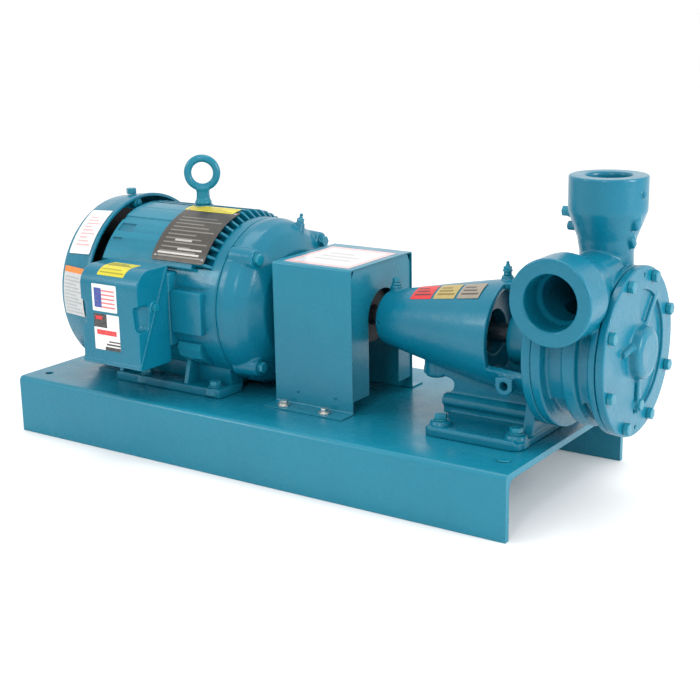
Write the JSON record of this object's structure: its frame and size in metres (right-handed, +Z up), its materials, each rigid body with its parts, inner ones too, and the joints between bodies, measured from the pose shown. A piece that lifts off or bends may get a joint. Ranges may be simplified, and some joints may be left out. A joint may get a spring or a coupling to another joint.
{
  "type": "centrifugal water pump",
  "caption": "Base-mounted electric water pump set: finned motor, guarded jaw coupling, bearing bracket and round casing with side suction and top discharge.",
  "frame": {"origin": "middle of the whole set's box, on the floor under the baseplate", "axes": "+X along the shaft from the motor's fan cover to the pump's cover, +Y away from the conduit box and the suction port, +Z up"},
  "size_m": [1.006, 0.398, 0.455],
  "materials": {
    "enamel": "glossy",
    "cast_enamel": "semi-gloss",
    "steel": "machined",
    "zinc": "zinc plated",
    "plate": "brushed",
    "lamination": "matt",
    "copper": "varnished",
    "bronze": "machined",
    "rubber": "matt",
    "plastic": "matt",
    "gasket": "matt",
    "carbon": "lapped",
    "label": "printed vinyl"
  },
  "bodies": {
    "root": {"baseplate": "enamel", "coupling_guard": "enamel", "motor_foot_bolt_1": "enamel", "motor_foot_bolt_2": "enamel", "motor_foot_bolt_3": "enamel", "motor_foot_bolt_4": "enamel", "bracket_foot_bolt_1": "enamel", "bracket_foot_bolt_2": "enamel", "bracket_foot_bolt_3": "enamel", "bracket_foot_bolt_4": "enamel", "lifting_eyebolt": "enamel", "motor_grease_fitting": "enamel", "bracket_oil_plug": "enamel", "bracket_grease_fitting": "enamel", "fan_cover_plug": "enamel", "cover_plug": "enamel", "discharge_plug": "enamel", "cover_bolt_1": "enamel", "cover_bolt_2": "enamel", "cover_bolt_3": "enamel", "cover_bolt_4": "enamel", "cover_bolt_5": "enamel", "cover_bolt_6": "enamel", "cover_bolt_7": "enamel", "cover_bolt_8": "enamel", "motor_frame": "cast_enamel", "drive_end_shield": "cast_enamel", "fan_end_shield": "cast_enamel", "fan_cover": "cast_enamel", "conduit_box": "cast_enamel", "conduit_cover": "cast_enamel", "bearing_bracket": "cast_enamel", "seal_gland": "cast_enamel", "pump_casing": "cast_enamel", "casing_cover": "cast_enamel", "motor_bearing_drive": "steel", "motor_bearing_fan": "steel", "bracket_bearing_inner": "steel", "bracket_bearing_outer": "steel", "guard_screw_1": "zinc", "guard_screw_2": "zinc", "guard_screw_3": "zinc", "guard_screw_4": "zinc", "nameplate": "plate", "stator_core": "lamination", "stator_winding": "copper", "cover_gasket": "gasket", "seal_seat": "carbon"},
    "motor_rotor": {"motor_shaft": "steel", "rotor_core": "lamination", "cooling_fan": "plastic", "coupling_hub_motor": "cast_enamel", "coupling_spider": "rubber"},
    "pump_rotor": {"pump_shaft": "steel", "coupling_hub_pump": "cast_enamel", "water_slinger": "rubber", "seal_head": "steel", "impeller": "bronze"}
  },
  "joints": [
    {"name": "motor_spin", "type": "hinge", "parent": "root", "child": "motor_rotor", "pos_m": [0, 0.01, 0.22635], "axis": [1, 0, 0], "continuous": true},
    {"name": "pump_spin", "type": "hinge", "parent": "root", "child": "pump_rotor", "pos_m": [0.4, 0.01, 0.22635], "axis": [1, 0, 0], "continuous": true}
  ],
  "couplings": [
    {"joint": "pump_spin", "follows": "motor_spin", "ratio": 1}
  ]
}
